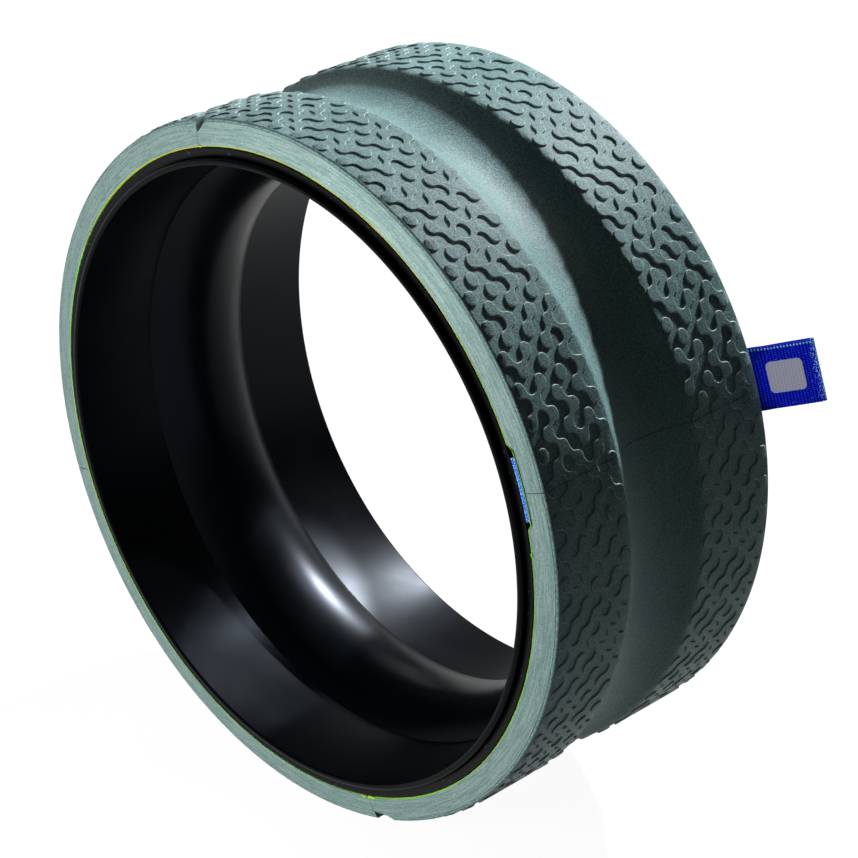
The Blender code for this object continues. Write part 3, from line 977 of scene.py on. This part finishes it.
at_edge = node(grosgrain, "Math", {0: past_start, 1: before_end}, operation="MULTIPLY").outputs[0]
dash = node(grosgrain, "MapRange", {"Value": rib, 1: -0.2, 2: 0.5}).outputs[0]
stitch = node(grosgrain, "Math", {0: at_edge, 1: dash}, operation="MULTIPLY")
edged = node(
    grosgrain, "Mix",
    {"Factor": stitch.outputs[0], 6: dotted.outputs[2], 7: linear("#9ad2ff")},
    data_type="RGBA",
)
FOLD_BAND = 0.0042
END_BAND = (0.0012, 0.0004)
UNDER_SIDE = (0.0007, 0.0004)
SPECK = 0.0005
half_length = ribbon_length / 2
past_fold = node(grosgrain, "Math", {0: along, 1: half_length}, operation="SUBTRACT").outputs[0]
from_fold = node(grosgrain, "Math", {0: past_fold}, operation="ABSOLUTE").outputs[0]
near_fold = node(
    grosgrain, "MapRange",
    {"Value": from_fold, 1: FOLD_BAND, 2: 0.0, 3: 0.0, 4: 0.34},
).outputs[0]
at_ends = node(
    grosgrain, "MapRange",
    {"Value": from_fold, 1: half_length - END_BAND[0], 2: half_length - END_BAND[1], 4: 0.45},
).outputs[0]
radius = wheel_coordinates(grosgrain)[0]
lower_side = node(
    grosgrain, "MapRange",
    {"Value": radius, 1: strap_radius + UNDER_SIDE[0], 2: strap_radius + UNDER_SIDE[1]},
).outputs[0]
ends = node(grosgrain, "Math", {0: at_ends, 1: lower_side}, operation="MULTIPLY").outputs[0]
worn = node(grosgrain, "Math", {0: near_fold, 1: ends}, operation="MAXIMUM").outputs[0]
specks = node(
    grosgrain, "TexNoise",
    {"Vector": flat_place, "Scale": 1 / SPECK, "Detail": 1.0},
).outputs["Fac"]
worn_speck = node(grosgrain, "Math", {0: specks, 1: worn}, operation="ADD")
worn_share = node(grosgrain, "MapRange", {"Value": worn_speck.outputs[0], 1: 0.70, 2: 0.80})
worn_thread = node(grosgrain, "ValToRGB", {"Fac": specks})
worn_thread.color_ramp.elements[0].position = 0.44
worn_thread.color_ramp.elements[0].color = linear("#0a6cf0")
worn_thread.color_ramp.elements[1].position = 0.60
worn_thread.color_ramp.elements[1].color = linear("#a6dcff")
speckled = node(
    grosgrain, "Mix",
    {"Factor": worn_share.outputs[0], 6: edged.outputs[2], 7: worn_thread.outputs["Color"]},
    data_type="RGBA",
)
PANEL_HALF_WIDTH = 0.0066
PANEL_HALF_LENGTH = 0.0076
PANEL_CORNER = 0.0022
PANEL_FROM_FOLD = 0.0150
PANEL_BLUR = 0.0001
panel_place = node(
    grosgrain, "VectorMath",
    {0: flat_place, 1: (RIBBON_WIDTH / 2, half_length - PANEL_FROM_FOLD, 0)},
    operation="SUBTRACT",
)
panel_place = node(grosgrain, "VectorMath", {0: panel_place.outputs[0]}, operation="ABSOLUTE")
inset = (PANEL_HALF_WIDTH - PANEL_CORNER, PANEL_HALF_LENGTH - PANEL_CORNER, 0)
panel_place = node(grosgrain, "VectorMath", {0: panel_place.outputs[0], 1: inset}, operation="SUBTRACT")
panel_place = node(grosgrain, "VectorMath", {0: panel_place.outputs[0], 1: (0, 0, 0)}, operation="MAXIMUM")
panel_reach = node(grosgrain, "VectorMath", {0: panel_place.outputs[0]}, operation="LENGTH")
panel = node(
    grosgrain, "MapRange",
    {"Value": panel_reach.outputs["Value"], 1: PANEL_CORNER + PANEL_BLUR, 2: PANEL_CORNER - PANEL_BLUR},
)
ink = node(grosgrain, "ValToRGB", {"Fac": dot})
ink.color_ramp.elements[0].position = 0.25
ink.color_ramp.elements[0].color = linear("#b4b2c2")
ink.color_ramp.elements[1].position = 0.75
ink.color_ramp.elements[1].color = linear("#8a8aa6")
printed = node(
    grosgrain, "Mix",
    {"Factor": panel.outputs[0], 6: speckled.outputs[2], 7: ink.outputs["Color"]},
    data_type="RGBA",
)
grosgrain.node_tree.links.new(printed.outputs[2], shader.inputs["Base Color"])
threads = node(grosgrain, "Math", {0: thread_high, 1: fuzz}, operation="ADD")
bump = node(grosgrain, "Bump", {"Height": threads.outputs[0], "Strength": 0.5, "Distance": 0.00015})
grosgrain.node_tree.links.new(bump.outputs[0], shader.inputs["Normal"])
shader.inputs["Roughness"].default_value = 0.7
shader.inputs["Sheen Weight"].default_value = 0.02
shader.inputs["Specular IOR Level"].default_value = 0.04
ribbon.data.materials.clear()
ribbon.data.materials.append(grosgrain)


# Floor and light
# A floor and a surround that the camera sees as white, a key lamp behind and above the wheel, a broad soft
# lamp at its left, a lamp that shows only as a sheen in the bore, two spots, one on the bore and one on the
# tag, and two small lamps in front for the sliced faces.
FLOOR_SIZE = 8.0
FLOOR_GLOW = 0.95
bpy.ops.object.select_all(action="DESELECT")
bpy.ops.mesh.primitive_plane_add(size=FLOOR_SIZE, location=(0, 0, -tread_radius))
floor = bpy.context.object
floor.name = "studio_floor"
pale, shader = new_material("pale_floor")
shader.inputs["Base Color"].default_value = linear("#505050")
shader.inputs["Roughness"].default_value = 0.9
shader.inputs["Specular IOR Level"].default_value = 0.1
ray = node(pale, "LightPath").outputs
seen = node(pale, "Math", {0: ray["Is Camera Ray"], 1: ray["Is Glossy Ray"]}, operation="MAXIMUM")
seen = node(pale, "Math", {0: seen.outputs[0], 1: ray["Is Transmission Ray"]}, operation="MAXIMUM")
glow = node(pale, "Math", {0: seen.outputs[0], 1: FLOOR_GLOW}, operation="MULTIPLY")
pale.node_tree.links.new(glow.outputs[0], shader.inputs["Emission Strength"])
shader.inputs["Emission Color"].default_value = (1, 1, 1, 1)
floor.data.materials.append(pale)

# The surround is white to the camera. In a reflection it is white along the horizon and dim overhead, as in
# a studio, and it lights the wheel only faintly.
SURROUND_FILL = 0.010
WHITE_BELOW = math.radians(4)
DIM_ABOVE = math.radians(12)
world = bpy.data.worlds.new("white_surround")
bpy.context.scene.world = world
world.use_nodes = True
ray = node(world, "LightPath").outputs
upright = node(world, "SeparateXYZ", {0: node(world, "TexCoord").outputs["Generated"]})
fade = node(
    world, "MapRange",
    {"Value": upright.outputs["Z"], 1: math.sin(WHITE_BELOW), 2: math.sin(DIM_ABOVE), 3: 1.0,
     4: SURROUND_FILL},
)
bounced = node(world, "Math", {0: ray["Is Glossy Ray"], 1: ray["Is Transmission Ray"]}, operation="MAXIMUM")
reflected = node(world, "MapRange", {"Value": bounced.outputs[0], 3: SURROUND_FILL, 4: fade.outputs[0]})
strength = node(world, "Math", {0: reflected.outputs[0], 1: ray["Is Camera Ray"]}, operation="MAXIMUM")
surround = world.node_tree.nodes["Background"]
world.node_tree.links.new(strength.outputs[0], surround.inputs["Strength"])
surround.inputs["Color"].default_value = (1, 1, 1, 1)

COOL = (0.92, 0.96, 1.0)
SPOT_BLEND = 0.35
SPOT_SOFTNESS = 0.004


def add_lamp(kind, name, place, aim, power, colour=COOL):
    """A lamp at a place, which faces another place and isn't itself seen by the camera."""
    bpy.ops.object.light_add(type=kind, location=place)
    lamp = bpy.context.object
    lamp.name = name
    lamp.data.energy = power
    lamp.data.color = colour
    lamp.rotation_mode = "QUATERNION"
    lamp.rotation_quaternion = (place - aim).to_track_quat("Z", "Y")
    lamp.visible_camera = False
    return lamp


def add_panel(name, place, aim, width, height, power, colour=COOL):
    """A rectangular lamp."""
    lamp = add_lamp("AREA", name, place, aim, power, colour)
    lamp.data.shape = "RECTANGLE"
    lamp.data.size = width
    lamp.data.size_y = height
    return lamp


def add_spot(name, place, aim, spread, power):
    """A narrow spot lamp. Its spread is the whole angle of its cone in degrees."""
    lamp = add_lamp("SPOT", name, place, aim, power)
    lamp.data.spot_size = math.radians(spread)
    lamp.data.spot_blend = SPOT_BLEND
    lamp.data.shadow_soft_size = SPOT_SOFTNESS


def from_centre(azimuth, elevation, distance):
    """A place seen from the wheel's centre. Azimuth 0 is the front and 90 the right, in degrees."""
    a = math.radians(azimuth)
    e = math.radians(elevation)
    return Vector((math.sin(a) * math.cos(e), -math.cos(a) * math.cos(e), math.sin(e))) * distance


CENTRE = Vector((0, 0, 0))
BORE_SPOT = Vector((-0.056, -0.003, -0.103))
TAG_SPOT = pivot + tag_direction * 0.022
add_panel("key", from_centre(189.5, 36, 1.6), CENTRE, 0.07, 0.07, 42)
add_panel("left_soft", from_centre(245, 35, 1.8), CENTRE, 1.20, 1.00, 7.5)
sheen = add_panel("bore_sheen", from_centre(165, 61, 1.6), CENTRE, 0.30, 0.20, 7)
sheen.visible_diffuse = False
add_spot("bore", from_centre(187, 38, 1.6), BORE_SPOT, 2.8, 580)
add_spot("tag_light", from_centre(50, 26, 1.3), TAG_SPOT, 1.7, 33)

# Two lamps hang before the bore, so they light the sliced faces and leave the tread dark.
WHITE = (1.0, 1.0, 1.0)
for name, place, aim, size, power in (
    ("front", (-0.01, -0.40, 0), (-0.01, 0, 0), 0.10, 1.45),
    ("front_top", (0.03, -0.15, 0.095), (0.03, 0, 0.115), 0.06, 0.09),
):
    lamp = add_panel(name, Vector(place), Vector(aim), size, size, power, WHITE)
    lamp.visible_glossy = False
